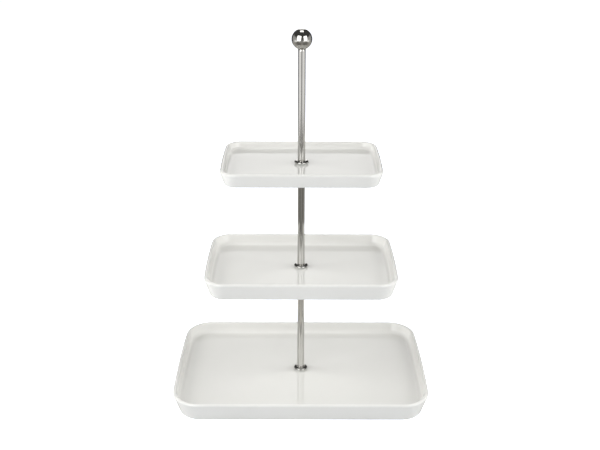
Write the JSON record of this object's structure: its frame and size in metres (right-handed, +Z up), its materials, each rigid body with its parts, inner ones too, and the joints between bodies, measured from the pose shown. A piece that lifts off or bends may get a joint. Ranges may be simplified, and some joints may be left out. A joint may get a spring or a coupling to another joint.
{
  "type": "tiered cake stand",
  "caption": "Tiered serving stand: shallow rectangular white glazed trays of decreasing size, clamped one above another on a slim round chrome column with a ball finial.",
  "frame": {"origin": "on the column's axis, at the level of the bottom tray's foot ring", "axes": "+Z up along the column, +X along the long side of the trays, +Y along their short side"},
  "size_m": [0.287, 0.19, 0.4117],
  "materials": {
    "porcelain": "gloss",
    "chrome": "polished",
    "steel": "satin",
    "silicone": "matte"
  },
  "bodies": {
    "base": {"bottom_tray": "porcelain", "bottom_upper_gasket": "silicone", "bottom_lower_gasket": "silicone", "bottom_collar": "chrome"},
    "column": {"lower_rod": "chrome", "middle_under_washer": "steel"},
    "base_washer": {"bottom_under_washer": "steel"},
    "base_screw": {"base_screw": "steel"},
    "middle_tray": {"middle_tray": "porcelain", "middle_upper_gasket": "silicone", "middle_lower_gasket": "silicone", "middle_collar": "chrome"},
    "lower_stud": {"lower_stud": "steel"},
    "middle_rod": {"middle_rod": "chrome", "top_under_washer": "steel"},
    "top_tray": {"top_tray": "porcelain", "top_upper_gasket": "silicone", "top_lower_gasket": "silicone", "top_collar": "chrome"},
    "upper_stud": {"upper_stud": "steel"},
    "upper_rod": {"upper_rod": "chrome"},
    "finial_stud": {"finial_stud": "steel"},
    "ball_finial": {"ball_finial": "chrome"}
  },
  "joints": [
    {"name": "column_turn", "type": "hinge", "parent": "base", "child": "column", "pos_m": [0, 0, 0.0164], "axis": [0, 0, 1], "continuous": true},
    {"name": "base_screw_turn", "type": "hinge", "parent": "column", "child": "base_washer", "pos_m": [0, 0, 0.0034], "axis": [0, 0, -1], "range_deg": [0, 3600]},
    {"name": "base_screw_travel", "type": "slide", "parent": "base_washer", "child": "base_screw", "axis": [0, 0, -1], "range_m": [0, 0.008]},
    {"name": "middle_tray_turn", "type": "hinge", "parent": "column", "child": "middle_tray", "pos_m": [0, 0, 0.14], "axis": [0, 0, 1], "continuous": true},
    {"name": "middle_rod_turn", "type": "hinge", "parent": "column", "child": "lower_stud", "pos_m": [0, 0, 0.149], "axis": [0, 0, 1], "range_deg": [0, 3600]},
    {"name": "middle_rod_rise", "type": "slide", "parent": "lower_stud", "child": "middle_rod", "axis": [0, 0, 1], "range_m": [0, 0.008]},
    {"name": "top_tray_turn", "type": "hinge", "parent": "middle_rod", "child": "top_tray", "pos_m": [0, 0, 0.263], "axis": [0, 0, 1], "continuous": true},
    {"name": "upper_rod_turn", "type": "hinge", "parent": "middle_rod", "child": "upper_stud", "pos_m": [0, 0, 0.272], "axis": [0, 0, 1], "range_deg": [0, 3600]},
    {"name": "upper_rod_rise", "type": "slide", "parent": "upper_stud", "child": "upper_rod", "axis": [0, 0, 1], "range_m": [0, 0.008]},
    {"name": "finial_turn", "type": "hinge", "parent": "upper_rod", "child": "finial_stud", "pos_m": [0, 0, 0.391], "axis": [0, 0, 1], "range_deg": [0, 3600]},
    {"name": "finial_rise", "type": "slide", "parent": "finial_stud", "child": "ball_finial", "axis": [0, 0, 1], "range_m": [0, 0.008]}
  ],
  "couplings": [
    {"joint": "base_screw_turn", "follows": "base_screw_travel", "rad_per_m": 7854},
    {"joint": "middle_rod_turn", "follows": "middle_rod_rise", "rad_per_m": 7854},
    {"joint": "upper_rod_turn", "follows": "upper_rod_rise", "rad_per_m": 7854},
    {"joint": "finial_turn", "follows": "finial_rise", "rad_per_m": 7854}
  ]
}
